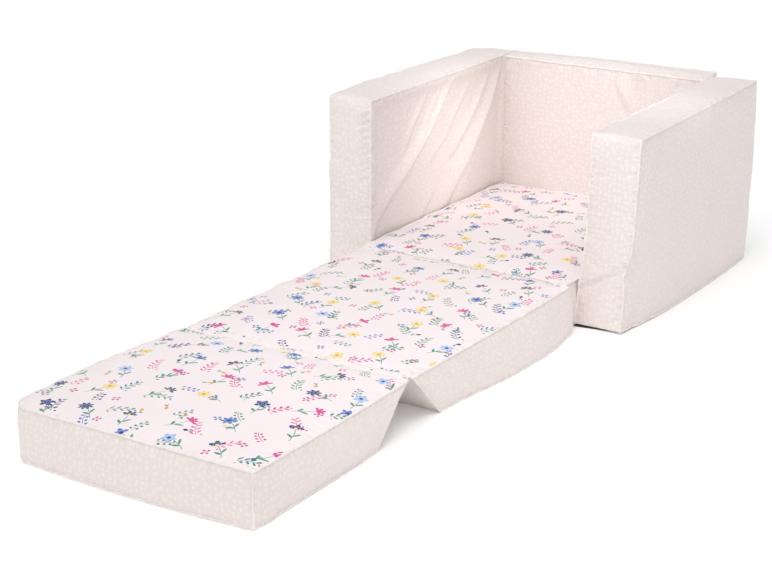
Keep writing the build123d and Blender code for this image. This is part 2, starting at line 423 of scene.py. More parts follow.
# Crowns and bulges of the faces, and room between covers
SURROUND_CROWN = 0.004
SIDE_CROWN = 0.003
INNER_CROWN = 0.0015
FRONT_BULGE = 0.003
PAD_CROWN = 0.004
PAD_DRAWN_IN = 0.0025
PAD_END_BULGE = 0.005
JOINT_BULGE = 0.0015
MITRE_GAP = 0.001
BACK_TUCK = 0.003

# How the pads stand away from plumb: the middle one sits a little to the right with a low
# bulge on that side, the seat narrows at its right front, and the end one is full at its
# left and low front. Both folding pads are pressed narrower between the arms as they fold.
REAR_LOW_RADIUS = 0.018
HINGE_BULGE = 0.010
SEAT_HINGE_BULGE = HINGE_BULGE + 0.001
ASIDE = 0.005
LOW_SIDE_BULGE = 0.020
SQUEEZE = 0.006
SQUEEZE_REACH = 0.20
FOOT_REACH = 0.007
CORNER_RADIUS = 0.030
END_LEFT_OUT = 0.009
END_LEFT_BULGE = 0.009
END_LOW_BULGE = 0.011

# Recesses over the zips in the sloping ends
ZIP_RECESS = 0.0068
ZIP_FADE = 0.0045

# Strips over the folding seams; a ridge along the middle carries a band of a second material: on the
# seat's strip a dark thread colour that is partly painted shade of the groove between the pads, on the
# crease's strip the lighter welt cloth, a painted highlight
STRIP_REACH = 0.0065
STRIP_INSET = 0.004
STRIP_STEP = 0.0035
STRIP_ROWS = 11
STRIP_THICKNESS = 0.0008
STRIP_RIPPLE = 0.0004
STRIP_RIPPLE_LENGTH = 0.008
STRIP_RIDGES = {"seat_seam_strip": 0.0004, "crease_seam_strip": 0.0010}
RIDGE_SHARE = 0.13
# Half width of the strip's middle band: darkened thread with painted groove shade on the seat's strip,
# lighter welt cloth with painted highlight on the crease's strip
MIDDLE_BAND_SHARE = 0.10
STRIP_SINK = 0.0005
STRIP_BEND = 0.002

# Cross-section of a fold, in shares of its width and height
STEEP_FLANK = 0.45
CREASE_AWAY = 0.95
CREASE_WIDTH = 0.35
CREASE_DEPTH = 0.45


class Fold:
    """A soft fold in a cover, along a run of places given in two directions, with its width
    at both ends. The flank on the right of a run that goes down is steep, with a crease."""

    def __init__(self, places, widths, height):
        self.places = np.array(places, float)
        self.widths = widths
        self.height = height

    def lift(self, first, second):
        best = np.full(len(first), 1e9)
        signed = np.zeros(len(first))
        travel = np.zeros(len(first))
        runs = np.linalg.norm(np.diff(self.places, axis=0), axis=1)
        starts = np.concatenate([[0], np.cumsum(runs)])
        for number, run in enumerate(runs):
            start, end = self.places[number], self.places[number + 1]
            along = (end - start) / run
            off_first = first - start[0]
            off_second = second - start[1]
            share = np.clip(off_first * along[0] + off_second * along[1], 0, run)
            away_first = off_first - share * along[0]
            away_second = off_second - share * along[1]
            away = np.hypot(away_first, away_second)
            nearer = away < best
            best = np.where(nearer, away, best)
            side = away_first * -along[1] + away_second * along[0]
            signed = np.where(nearer, np.sign(side) * away, signed)
            travel = np.where(nearer, starts[number] + share, travel)
        travel /= starts[-1]
        width = self.widths[0] + (self.widths[1] - self.widths[0]) * travel
        ends = np.sin(math.pi * np.clip(travel, 0.04, 0.96)) ** 0.5
        flank = np.where(signed > 0, STEEP_FLANK * width, width)
        ridge = bell(signed, flank)
        crease = bell(signed - CREASE_AWAY * width, CREASE_WIDTH * width)
        return self.height * ends * (ridge - CREASE_DEPTH * crease)


# Folds of the left arm's inner face: distance behind the arm's front, height
ARM_FOLDS = [
    Fold([(0.318, 0.362), (0.263, 0.311), (0.204, 0.259), (0.141, 0.212), (0.07, 0.166),
          (0.014, 0.119)], (0.011, 0.024), 0.012),
    Fold([(0.266, 0.344), (0.227, 0.309), (0.195, 0.27)], (0.007, 0.009), 0.003),
    Fold([(0.21, 0.342), (0.164, 0.297), (0.128, 0.249)], (0.007, 0.011), 0.0055),
    Fold([(0.153, 0.337), (0.13, 0.318)], (0.006, 0.007), 0.002),
    Fold([(0.523, 0.355), (0.481, 0.293), (0.43, 0.235), (0.373, 0.172), (0.321, 0.126),
          (0.29, 0.1)], (0.010, 0.030), 0.012),
    Fold([(0.469, 0.345), (0.422, 0.291), (0.374, 0.246), (0.324, 0.205)], (0.010, 0.016), 0.0065),
    Fold([(0.382, 0.331), (0.336, 0.291), (0.3, 0.26)], (0.009, 0.011), 0.003),
    Fold([(0.32, 0.262), (0.249, 0.218), (0.222, 0.2)], (0.010, 0.010), 0.003),
    Fold([(0.022, 0.236), (0.012, 0.205), (0.004, 0.182)], (0.008, 0.008), 0.004),
    Fold([(0.245, 0.136), (0.216, 0.114), (0.2, 0.098)], (0.010, 0.014), 0.003),
]

# How the arms stand away from plumb: the right one leans out at the top front and turns in
# at its foot, its low outer side bulges and it has a waist near the front; the left one's
# outer top edge bows out, and its rear corner is rounder
REAR_RADIUS = {-1: 0.040, 1: 0.006}
LEAN_TOP = 0.010
LEAN_FOOT = 0.011
LEAN_FOOT_REACH = 0.16
LEAN_FOOT_HEIGHTS = (0.02, 0.20)
OUTER_FOOT_IN = -0.002
LOW_BULGE = 0.009
LEFT_BULGE = 0.008
LEFT_REAR_OUT = 0.005
REAR_OUT = 0.005
REAR_RISE = 0.003
WAIST = 0.007
WAIST_HEIGHT = 0.112
WAIST_REACH = 0.024
NEAR_FRONT_REACH = 0.07
FOOT_LIFT = 0.003
FOOT_LIFT_HEIGHT = 0.025

# How the back's rear side bows out and rises, less towards the left
REAR_BOW = 0.009
BACK_RISE = 0.0065
LEFT_REAR_IN = 0.004

# Room for the folds, how deep a face is that takes them, and where they fade out
FOLD_ROOM = 0.0075
BACK_FOLD_ROOM = 0.003
INNER_DEPTH = 0.012
FRONT_DEPTH = 0.01
FOLD_FADE = 0.03
BACK_FOLD_FADE = 0.02
CORNER_FADE = (-0.002, 0.022)

# Creases of the right arm's front: distance from the sofa's middle, height
FRONT_FOLDS = [
    Fold([(0.218, 0.072), (0.252, 0.089), (0.282, 0.107), (0.32, 0.126)], (0.007, 0.005), -0.0035),
    Fold([(0.276, 0.014), (0.3, 0.024), (0.322, 0.039)], (0.007, 0.006), -0.002),
]
for gather in (0.143, 0.118, 0.106, 0.094, 0.081, 0.066, 0.052):
    gather_run = [(0.331, gather), (0.319, gather - 0.004), (0.299, gather - 0.015)]
    FRONT_FOLDS.append(Fold(gather_run, (0.0055, 0.004), 0.0017))

# Gathers of the left arm's front beside its inner seam
LEFT_FRONT_FOLDS = []
for number in range(9):
    gather = 0.350 - 0.016 * number
    gather_run = [(-0.232, gather + 0.006), (-0.244, gather + 0.001), (-0.259, gather - 0.010)]
    LEFT_FRONT_FOLDS.append(Fold(gather_run, (0.0062, 0.0045), 0.0036 - 0.0002 * number))

# Upright folds of the back's inner face: distance from the sofa's middle, height
BACK_FOLDS = [
    Fold([(-0.207, 0.27), (-0.201, 0.323), (-0.195, 0.366)], (0.008, 0.006), -0.003),
    Fold([(0.081, 0.285), (0.064, 0.312), (0.049, 0.336), (0.047, 0.37)], (0.020, 0.008), 0.0045),
    Fold([(0.104, 0.37), (0.092, 0.341), (0.084, 0.314), (0.083, 0.29)], (0.007, 0.009), -0.0035),
    Fold([(0.124, 0.37), (0.116, 0.35)], (0.006, 0.006), -0.002),
    Fold([(0.187, 0.37), (0.17, 0.338)], (0.007, 0.007), -0.0025),
]


def arm(label, side):
    """One arm of the surround."""
    low, high = span(*cover_nodes(f"{label}_arm", ARM_PANELS))
    low[Z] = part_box(f"{label}_arm_boxing")[0][2]
    crowns = (SIDE_CROWN, INNER_CROWN) if side < 0 else (INNER_CROWN, SIDE_CROWN)
    low[X] += crowns[0]
    high[X] -= crowns[1]
    low[Y] += FRONT_BULGE
    back_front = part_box("back_inner_panel")[0][1]

    def shape(points, normals, raw, size):
        round_corner(points, normals, size, (X, Y), (side, 1), REAR_RADIUS[side])
        moved = faces_out(points, raw, size, [*crowns, FRONT_BULGE, 0, 0, SURROUND_CROWN])
        rightward, rearward, up = (raw / size).T
        outer_share = rightward if side > 0 else 1 - rightward
        in_front = 1 - rearward
        behind = raw[:, Y]
        height = raw[:, Z] + low[Z]
        foot = LEAN_FOOT * (1 - smooth_step(height, *LEAN_FOOT_HEIGHTS))
        if side > 0:
            moved[:, X] += in_front * (LEAN_TOP * up + OUTER_FOOT_IN * outer_share * (1 - up))
            moved[:, X] -= foot * fading(behind, LEAN_FOOT_REACH)
            moved[:, X] += LOW_BULGE * outer_share * (1 - up) * swell(in_front ** 0.5)
            at_rear = rearward ** 3 * outer_share
            moved[:, X] += REAR_OUT * at_rear * (swell(up, 2) - (1 - up) ** 2)
            moved[:, Y] += REAR_OUT * at_rear
            moved[:, Z] += REAR_RISE * at_rear * up ** 4
            waist = bell(height - WAIST_HEIGHT, WAIST_REACH)
            near = fading(behind, NEAR_FRONT_REACH)
            moved[:, X] -= WAIST * waist * near * outer_share
            moved[:, Z] += FOOT_LIFT * near * fading(height, FOOT_LIFT_HEIGHT)
        else:
            at_rear = rearward ** 3
            moved[:, Y] += LEFT_REAR_OUT * at_rear
            moved[:, Z] += REAR_RISE * at_rear * (1 - outer_share) * up ** 4
            forward = swell(np.clip(in_front * 1.25 - 0.25, 0, 1))
            moved[:, X] -= LEFT_BULGE * outer_share * forward * up
            on_inner = smooth_step(raw[:, X], size[X] - INNER_DEPTH, size[X])
            edge = np.minimum(size[Z] - raw[:, Z], raw[:, Z])
            edge = np.minimum(edge, behind)
            corner = back_front - low[Y]
            room = smooth_step(edge, 0, FOLD_FADE) * smooth_step(corner - behind, *CORNER_FADE)
            lift = sum(fold.lift(behind, height) for fold in ARM_FOLDS)
            moved[:, X] += on_inner * room * (lift - FOLD_ROOM)
        on_front = fading(behind, FRONT_DEPTH)
        across = moved[:, X] + low[X]
        folds = LEFT_FRONT_FOLDS if side < 0 else FRONT_FOLDS
        moved[:, Y] -= on_front * sum(fold.lift(across, height) for fold in folds)
        return moved

    def tight(raw, size):
        inner_gap = size[X] - raw[:, X] if side < 0 else raw[:, X]
        behind = smooth_step(raw[:, Y] + low[Y], back_front - TIGHT_BEFORE_BACK, back_front)
        return close_to(inner_gap) * behind

    obj, welts, _, _ = cushion(f"{label}_arm_cover", low, high, shape, X, 20 + side * 7, tight)
    dress(obj, welts, "surround", cover_nodes(f"{label}_arm", ARM_PANELS))
    return obj, welts


def back():
    """The back between the arms."""
    nodes = cover_nodes("back", BACK_PANELS)
    low, high = span(*nodes)
    low[Y] += INNER_CROWN
    low[X] -= BACK_TUCK
    high[X] += BACK_TUCK

    def shape(points, normals, raw, size):
        bulges = [0, 0, INNER_CROWN, SURROUND_CROWN, 0, SURROUND_CROWN]
        moved = faces_out(points, raw, size, bulges)
        rightward, rearward, up = (raw / size).T
        at_rear = rearward * (0.3 + 0.7 * smooth_step(rightward, 0, 0.45))
        moved[:, Y] += REAR_BOW * at_rear - LEFT_REAR_IN * at_rear * (1 - rightward) ** 3
        moved[:, Z] += BACK_RISE * at_rear * up ** 4
        on_inner = fading(raw[:, Y], INNER_DEPTH)
        edge = np.minimum(size[Z] - raw[:, Z], raw[:, Z])
        room = smooth_step(edge, 0, BACK_FOLD_FADE)
        lift = sum(fold.lift(raw[:, X] + low[X], raw[:, Z] + low[Z]) for fold in BACK_FOLDS)
        moved[:, Y] -= on_inner * room * (lift - BACK_FOLD_ROOM)
        return moved

    def tight(raw, size):
        return close_to(np.minimum(raw[:, X], size[X] - raw[:, X]))

    obj, welts, _, _ = cushion("back_cover", low, high, shape, Y, 43, tight)
    dress(obj, welts, "surround", nodes)
    return obj, welts


def pad(label, body, mitre, front_bulge, rear_bulge, seed):
    """One pad of the seat; mitre is -1 where its front end slopes and 1 where its rear does."""
    nodes = cover_nodes(label, PAD_PANELS)
    if label != "end_pad":
        nodes.append(f"{label}_seam_tape")
    low, high = span(*nodes)
    half = high[X] - SIDE_CROWN
    low[X], high[X] = -half, half
    low[Y] += front_bulge
    high[Y] -= rear_bulge
    high[Z] -= PAD_CROWN
    if mitre < 0:
        low[Y] = crease_y + MITRE_GAP + hinge_z - high[Z]
    if mitre > 0:
        high[Y] = crease_y - MITRE_GAP - hinge_z + high[Z]
        low[Y] -= FOOT_REACH

    def shape(points, normals, raw, size):
        if mitre < 0:
            round_corner(points, normals, size, (Y, Z), (1, -1), REAR_LOW_RADIUS)
        if mitre > 0:
            round_corner(points, normals, size, (X, Y), (-1, -1), CORNER_RADIUS)
        ends = [front_bulge, rear_bulge]
        moved = faces_out(points, raw, size, [SIDE_CROWN, SIDE_CROWN, *ends, 0, PAD_CROWN])
        right, share, up = (raw / size).T
        middle = size[X] / 2
        hang = swell(np.clip(1 - up, 0, 1), 2)
        if mitre < 0:
            moved[:, Y] += HINGE_BULGE * hang * smooth_step(share, 0.90, 1)
            moved[:, X] += ASIDE * smooth_step(share, 0, 1)
            low_right = (1 - up) * raw[:, X] / size[X]
            along_side = smooth_step(share, 0, 0.6) * (1 - 0.5 * smooth_step(share, 0.75, 1))
            moved[:, X] += LOW_SIDE_BULGE * low_right * along_side
        if mitre == 0:
            moved[:, Y] += SEAT_HINGE_BULGE * hang * fading(share, 0.12)
            near_front = fading(raw[:, Y], SQUEEZE_REACH)
            moved[:, X] -= SQUEEZE * near_front * smooth_step(raw[:, X], middle, size[X])
        if mitre > 0:
            moved[:, X] -= (1 - right) * (END_LEFT_OUT * (1 - share) + END_LEFT_BULGE * swell(share))
            low_front = (1 - share) * (1 - up)
            moved[:, Y] -= END_LOW_BULGE * low_front * swell(right, 2)
        draw = PAD_DRAWN_IN * (1 - swell(share, 2)) / middle
        moved[:, X] -= (moved[:, X] - middle) * draw
        if mitre:
            near = 1 - share if mitre < 0 else share
            moved[:, Y] -= mitre * (size[Z] - moved[:, Z]) * near
        return moved

    def tight(raw, size):
        front, rear = close_to(raw[:, Y]), close_to(size[Y] - raw[:, Y])
        return {-1: np.maximum(front, rear), 0: front, 1: rear}[mitre]

    obj, welts, raw, points = cushion(
        f"{label}_cover", low, high, shape, Z, seed, tight, printed=True
    )
    if mitre:
        slope = crease_y - mitre * (MITRE_GAP + hinge_z - points[:, Z])
        nearer = np.minimum if mitre > 0 else np.maximum
        points[:, Y] = nearer(points[:, Y], slope)
        zip_low, zip_high = span(f"{label}_zip_tape", f"{label}_zip_slider")
        gaps = [points[:, Z] - zip_low[Z], zip_high[Z] - points[:, Z]]
        gaps += [points[:, X] - zip_low[X], zip_high[X] - points[:, X]]
        over_zip = smooth_step(np.min(gaps, axis=0), -ZIP_FADE, 0)
        end_gap = raw[:, Y] if mitre < 0 else raw[:, Y].max() - raw[:, Y]
        points[:, Y] -= mitre * ZIP_RECESS * over_zip * (end_gap < SAME_PLACE)
        write_points(obj.data, points)
    for number, side in enumerate((0, raw[:, X].max())):
        at_corner = (np.abs(raw[:, X] - side) < SAME_PLACE) & (raw[:, Y] < SAME_PLACE)
        column = np.flatnonzero(at_corner)
        column = column[np.argsort(raw[column, Z])]
        outward = np.tile(np.array((-0.7 if number == 0 else 0.7, -0.7, 0)), (len(column), 1))
        name = f"{label}_{('left', 'right')[number]}_corner_welt"
        welts.append(tube(name, points[column], outward, WELT_RADIUS, closed=False))
    dress(obj, welts, body, nodes)
    if mitre:
        for piece in (obj, *welts):
            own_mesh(piece)
    return obj, welts, raw, points


def dress(obj, welts, body, nodes):
    """Tie a cover and its welts to a body, and hide the nodes that the cover stands for."""
    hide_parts(*nodes)
    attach(obj, body)
    for welt in welts:
        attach(welt, body)


# Numbers and masks in a material's node tree
class Wire:
    """A number in a node tree. Arithmetic on it adds Math nodes."""

    def __init__(self, tree, socket):
        self.tree = tree
        self.socket = socket

    def math(self, operation, *others, clamp=False):
        node = self.tree.nodes.new("ShaderNodeMath")
        node.operation = operation
        node.use_clamp = clamp
        for place, value in enumerate((self, *others)):
            if isinstance(value, Wire):
                self.tree.links.new(value.socket, node.inputs[place])
            else:
                node.inputs[place].default_value = value
        return Wire(self.tree, node.outputs[0])

    def __add__(self, other):
        return self.math("ADD", other)

    def __sub__(self, other):
        return self.math("SUBTRACT", other)

    def __mul__(self, other):
        return self.math("MULTIPLY", other)

    def __truediv__(self, other):
        return self.math("DIVIDE", other)

    def under(self, other):
        return self.math("LESS_THAN", other)

    def over(self, other):
        return self.math("GREATER_THAN", other)

    def mask(self, soft):
        """1 where this distance is below zero, 0 where it is above, with a soft edge."""
        return self.math("MULTIPLY_ADD", -1 / soft, 0.5, clamp=True)


def hypot(first, second):
    return (first * first + second * second).math("SQRT")


def ellipse(first, second, centre, radii):
    """Rough distance from an ellipse, in metres."""
    away = hypot((first - centre[0]) / radii[0], (second - centre[1]) / radii[1])
    return (away - 1) * min(radii)


def turned(first, second, angle):
    """Both coordinates turned by an angle, which may be a wire."""
    if isinstance(angle, Wire):
        cosine, sine = angle.math("COSINE"), angle.math("SINE")
    else:
        cosine, sine = math.cos(angle), math.sin(angle)
    return first * cosine + second * sine, second * cosine - first * sine


def new_material(name):
    material = bpy.data.materials.new(name)
    material.use_nodes = True
    return material, material.node_tree, material.node_tree.nodes["Principled BSDF"]


def colour_mix(tree, factor):
    """A node that mixes two colours by a number."""
    mix = tree.nodes.new("ShaderNodeMix")
    mix.data_type = "RGBA"
    tree.links.new(factor, mix.inputs[0])
    return mix


def dyed(tree, colour, noise, dark, light):
    """A colour that a noise makes darker and lighter."""
    mix = colour_mix(tree, noise.outputs[0])
    mix.inputs[6].default_value = (*[c * dark for c in colour], 1)
    mix.inputs[7].default_value = (*[min(1, c * light) for c in colour], 1)
    return mix.outputs[2]


class Cloth:
    """A woven cloth material that prints are painted on one after another."""

    def __init__(self, name, colour, roughness, sheen):
        self.material, self.tree, self.shader = new_material(name)
        self.shader.inputs["Roughness"].default_value = roughness
        self.shader.inputs["Sheen Weight"].default_value = sheen
        self.shader.inputs["Sheen Roughness"].default_value = 0.4
        self.shader.inputs["Specular IOR Level"].default_value = 0.35
        uv = self.node("UVMap")
        uv.uv_map = "cloth"
        self.uv = uv.outputs[0]
        self.across, self.up, _ = self.split(self.uv)
        self.colour = self.noise_tint(colour)

    def node(self, kind):
        return self.tree.nodes.new("ShaderNode" + kind)

    def link(self, source, target):
        self.tree.links.new(source, target)

    def split(self, vector, kind="XYZ"):
        """The three numbers of a vector or a colour."""
        parts = self.node("Separate" + kind)
        self.link(vector, parts.inputs[0])
        return [Wire(self.tree, parts.outputs[number]) for number in range(3)]

    def join(self, first, second, third=0):
        """A vector of two wires and a number."""
        vector = self.node("CombineXYZ")
        self.link(first.socket, vector.inputs[0])
        self.link(second.socket, vector.inputs[1])
        vector.inputs[2].default_value = third
        return vector.outputs[0]

    def noise_tint(self, colour):
        """The ground colour with a faint uneven dye."""
        noise = self.node("TexNoise")
        noise.inputs["Scale"].default_value = 9
        noise.inputs["Detail"].default_value = 3
        self.link(self.uv, noise.inputs["Vector"])
        return dyed(self.tree, colour, noise, 0.965, 1.015)

    def paint(self, mask, colour):
        """Lay a colour, or a colour socket, over what is there where the mask is 1."""
        mix = colour_mix(self.tree, mask.socket)
        self.link(self.colour, mix.inputs[6])
        if isinstance(colour, tuple):
            mix.inputs[7].default_value = (*colour, 1)
        else:
            self.link(colour, mix.inputs[7])
        self.colour = mix.outputs[2]

    def choose(self, share, colours):
        """One of several colours by a number from 0 to 1."""
        ramp = self.node("ValToRGB")
        ramp.color_ramp.interpolation = "CONSTANT"
        stops = ramp.color_ramp.elements
        while len(stops) < len(colours):
            stops.new(0.5)
        for number, colour in enumerate(colours):
            stops[number].position = number / len(colours)
            stops[number].color = (*colour, 1)
        self.link(share.socket, ramp.inputs[0])
        return ramp.outputs[0]

    def random(self, first, second, seed):
        """Three random numbers of a lattice cell."""
        noise = self.node("TexWhiteNoise")
        self.link(self.join(first, second, seed), noise.inputs["Vector"])
        return self.split(noise.outputs["Color"], "Color")

    def scatter(self, size, wander, lean, swing, seed):
        """Local coordinates of one motif for each cell of a leaning lattice, and its dice."""
        across, up = turned(self.across, self.up, lean)
        column = (across / size).math("FLOOR")
        row = (up / size).math("FLOOR")
        first, second, third = self.random(column, row, seed)
        kind, tone, turn = self.random(column, row, seed + 17)
        local_across = across - (column + 0.5) * size - (first - 0.5) * (2 * wander)
        local_up = up - (row + 0.5) * size - (second - 0.5) * (2 * wander)
        angle = (turn - 0.5) * swing
        local_across, local_up = turned(local_across, local_up, angle)
        return local_across, local_up, kind, tone, third

    def relief(self, pitch, height):
        """Bump from the raised threads both ways and from small gathers along the seams."""
        seam = self.node("Attribute")
        seam.attribute_name = "seam"
        away, along, clear = self.split(seam.outputs["Vector"])
        place = self.join(away * (0.4 / GATHER_REACH), along / GATHER_LENGTH)
        noise = self.node("TexNoise")
        noise.noise_dimensions = "2D"
        noise.inputs["Scale"].default_value = 1
        noise.inputs["Detail"].default_value = 1
        self.link(place, noise.inputs["Vector"])
        fade = (away / -GATHER_REACH).math("EXPONENT")
        gathers = (Wire(self.tree, noise.outputs[0]) - 0.5) * fade * clear * GATHER_HEIGHT
        warp = (self.across * (math.tau / pitch)).math("SINE")
        weft = (self.up * (math.tau / pitch)).math("SINE")
        bump = self.node("Bump")
        bump.inputs["Distance"].default_value = 1
        self.link((gathers + warp * weft * height).socket, bump.inputs["Height"])
        self.link(bump.outputs[0], self.shader.inputs["Normal"])

    def finish(self):
        self.link(self.colour, self.shader.inputs["Base Color"])
        return self.material


# Small gathers beside the seams, colours of the cloth, and the print
GATHER_REACH = 0.011
GATHER_LENGTH = 0.0085
GATHER_HEIGHT = 0.006

GROUND = (0.815, 0.732, 0.702)
PRINT_GROUND = (0.875, 0.79, 0.80)
WHITE = (0.85, 0.785, 0.752)
NAVY = (0.015, 0.035, 0.17)
BLUE = (0.06, 0.17, 0.52)
SKY = (0.36, 0.50, 0.80)
MAGENTA = (0.62, 0.02, 0.25)
PINK = (0.72, 0.09, 0.32)
YELLOW = (0.84, 0.66, 0.20)
ORANGE = (0.80, 0.36, 0.07)
AMBER = (0.62, 0.30, 0.05)
TEAL = (0.025, 0.22, 0.22)
GREEN = (0.08, 0.30, 0.22)
INK_SOFT = 0.0003
STEM_HALF = 0.0004
PRINT_SCALE = 1.38


def dotted_cloth():
    """Pale pink-beige cloth with small uneven white dots."""
    cloth = Cloth("dotted_cloth", GROUND, roughness=0.62, sheen=0.25)
    voronoi = cloth.node("TexVoronoi")
    voronoi.voronoi_dimensions = "2D"
    voronoi.inputs["Scale"].default_value = 100
    voronoi.inputs["Randomness"].default_value = 0.72
    wobble = cloth.node("TexNoise")
    wobble.noise_dimensions = "2D"
    wobble.inputs["Scale"].default_value = 260
    cloth.link(cloth.uv, voronoi.inputs["Vector"])
    cloth.link(cloth.uv, wobble.inputs["Vector"])
    dice, _, _ = cloth.split(voronoi.outputs["Color"], "Color")
    away = Wire(cloth.tree, voronoi.outputs["Distance"])
    uneven = (Wire(cloth.tree, wobble.outputs[0]) - 0.5) * 0.22
    radius = dice * 0.10 + 0.22
    cloth.paint((away + uneven - radius).mask(0.2), WHITE)
    cloth.relief(pitch=0.0006, height=0.00002)
    return cloth.finish()


def flowers(cloth):
    """Stemmed blooms with a few rounded petals round a small centre, some of them half open."""
    across, up, kind, tone, dice = cloth.scatter(size=0.057, wander=0.0095, lean=0.31, swing=2.4, seed=3)
    shown = dice.over(0.04)
    bend = across + up * up * 8
    stem = (bend.math("ABSOLUTE") - STEM_HALF).math("MAXIMUM", up - 0.004)
    stem = stem.math("MAXIMUM", (up * -1) - 0.023)
    cloth.paint(stem.mask(INK_SOFT) * shown, TEAL)
    for side, height in ((-1, 0.0115), (1, 0.0085)):
        leaf_across, leaf_up = turned(bend - side * 0.0036, up + height, -side * 0.75)
        leaf = ellipse(leaf_across, leaf_up, (0, 0), (0.0016, 0.0050))
        cloth.paint(leaf.mask(INK_SOFT) * shown, GREEN)
    high = up - 0.0068
    away = hypot(across, high)
    angle = high.math("ARCTAN2", across)
    count = (kind * 3.99).math("FLOOR") + 5
    wave = (angle * count).math("COSINE") * 0.2 + 0.82
    below = high * -1 - 0.0012 - tone.under(0.55)
    bloom = (away - wave * 0.0092).math("MAXIMUM", below)
    petals = [YELLOW, NAVY, SKY, YELLOW, BLUE, MAGENTA, NAVY, MAGENTA]
    cloth.paint(bloom.mask(INK_SOFT) * shown, cloth.choose(tone, petals))
    ring = (away - 0.0045).math("ABSOLUTE") - 0.0005
    cloth.paint(ring.mask(INK_SOFT) * shown * 0.4, PRINT_GROUND)
    centres = [AMBER, BLUE, NAVY, ORANGE, NAVY, PINK, YELLOW, PINK]
    cloth.paint((away - 0.0021).mask(INK_SOFT) * shown, cloth.choose(tone, centres))


def sprigs(cloth):
    """Twigs with paired leaves, from rounded leaves to thin fern fronds."""
    across, up, kind, tone, dice = cloth.scatter(size=0.048, wander=0.0070, lean=-0.42, swing=2.6, seed=29)
    shown = dice.over(0.10)
    bend = across - up * up * 12
    inside = up.math("ABSOLUTE") - kind * 0.0075 - 0.0095
    stem = (bend.math("ABSOLUTE") - STEM_HALF).math("MAXIMUM", inside)
    ink = cloth.choose(tone, [TEAL, BLUE, TEAL, NAVY, MAGENTA, TEAL, PINK, GREEN])
    cloth.paint(stem.mask(INK_SOFT) * shown, ink)
    pitch = kind * 0.0016 + 0.0064
    side = bend.math("ABSOLUTE")
    stagger = bend.over(0) * pitch * 0.5
    step = (up + stagger) / pitch
    local_up = (step - step.math("FLOOR") - 0.5) * pitch
    taper = up * -0.055 + 0.0036
    leaf_across, leaf_up = turned(side - taper, local_up, -0.80)
    width = kind * -0.0007 + 0.0017
    length = kind.over(0.45) * 0.0014 + 0.0020
    away = hypot(leaf_across / width, leaf_up / length)
    leaf = ((away - 1) * 0.0012).math("MAXIMUM", inside)
    cloth.paint(leaf.mask(INK_SOFT) * shown, ink)


def fillers(cloth):
    """Loose buds, berries and tiny blossoms between the larger motifs."""
    across, up, kind, tone, dice = cloth.scatter(size=0.043, wander=0.011, lean=0.93, swing=6.2, seed=71)
    shown = dice.over(0.22)
    berries = kind.under(0.5)
    ink = cloth.choose(tone, [PINK, MAGENTA, BLUE, PINK])
    for place in ((0, 0.0042), (0.0036, 0.0006), (-0.0034, 0.0002), (0.0002, -0.0036)):
        berry = ellipse(across, up, place, (0.0018, 0.0016))
        cloth.paint(berry.mask(INK_SOFT) * shown * berries, ink)
    stalk = (across.math("ABSOLUTE") - STEM_HALF).math("MAXIMUM", up.math("ABSOLUTE") - 0.0055)
    cloth.paint(stalk.mask(INK_SOFT) * shown, TEAL)
    buds = kind.over(0.5) * shown
    bud = ellipse(across, up, (0, 0.0052), (0.0023, 0.0031))
    ink = cloth.choose(tone, [ORANGE, YELLOW, NAVY, ORANGE])
    cloth.paint(bud.mask(INK_SOFT) * buds, ink)
    leaf = ellipse(*turned(across - 0.002, up + 0.002, 0.7), (0, 0), (0.001, 0.003))
    cloth.paint(leaf.mask(INK_SOFT) * buds, GREEN)


def printed_cloth():
    """Pale cloth with a small scattered flower print."""
    cloth = Cloth("printed_cloth", PRINT_GROUND, roughness=0.58, sheen=0.25)
    cloth.across = cloth.across / PRINT_SCALE
    cloth.up = cloth.up / PRINT_SCALE
    fillers(cloth)
    sprigs(cloth)
    flowers(cloth)
    cloth.relief(pitch=0.0005, height=0.000015)
    return cloth.finish()


def plain_material(name, colour, roughness, metallic=0.0, fine=False):
    """Plain coloured material with a noise in its colour and relief, finer for cloth."""
    material, tree, shader = new_material(name)
    shader.inputs["Roughness"].default_value = roughness
    shader.inputs["Metallic"].default_value = metallic
    place = tree.nodes.new("ShaderNodeTexCoord")
    noise = tree.nodes.new("ShaderNodeTexNoise")
    noise.inputs["Scale"].default_value = 900 if fine else 60
    tree.links.new(place.outputs["Object"], noise.inputs["Vector"])
    tree.links.new(dyed(tree, colour, noise, 0.8, 1.2), shader.inputs["Base Color"])
    bump = tree.nodes.new("ShaderNodeBump")
    bump.inputs["Strength"].default_value = 0.3
    bump.inputs["Distance"].default_value = 0.0002
    tree.links.new(noise.outputs[0], bump.inputs["Height"])
    tree.links.new(bump.outputs[0], shader.inputs["Normal"])
    return material


def wear(obj, *materials):
    """Give a new piece its materials, or a CAD node one in place of its plain one."""
    slots = obj.data.materials
    for number, material in enumerate(materials):
        if number < len(slots):
            slots[number] = material
        else:
            slots.append(material)


def top_row(raw, points, rear):
    """Places of a pad's top cloth along a line close to its front or rear end."""
    gap = raw[:, Y].max() - raw[:, Y] if rear else raw[:, Y]
    lines = np.unique(gap.round(6))
    nearest = lines[np.argmin(np.abs(lines - STRIP_REACH))]
    chosen = (np.abs(gap - nearest) < 1e-5) & (raw[:, Z] > raw[:, Z].max() - SAME_PLACE)
    row = points[chosen]
    return row[np.argsort(row[:, X])]


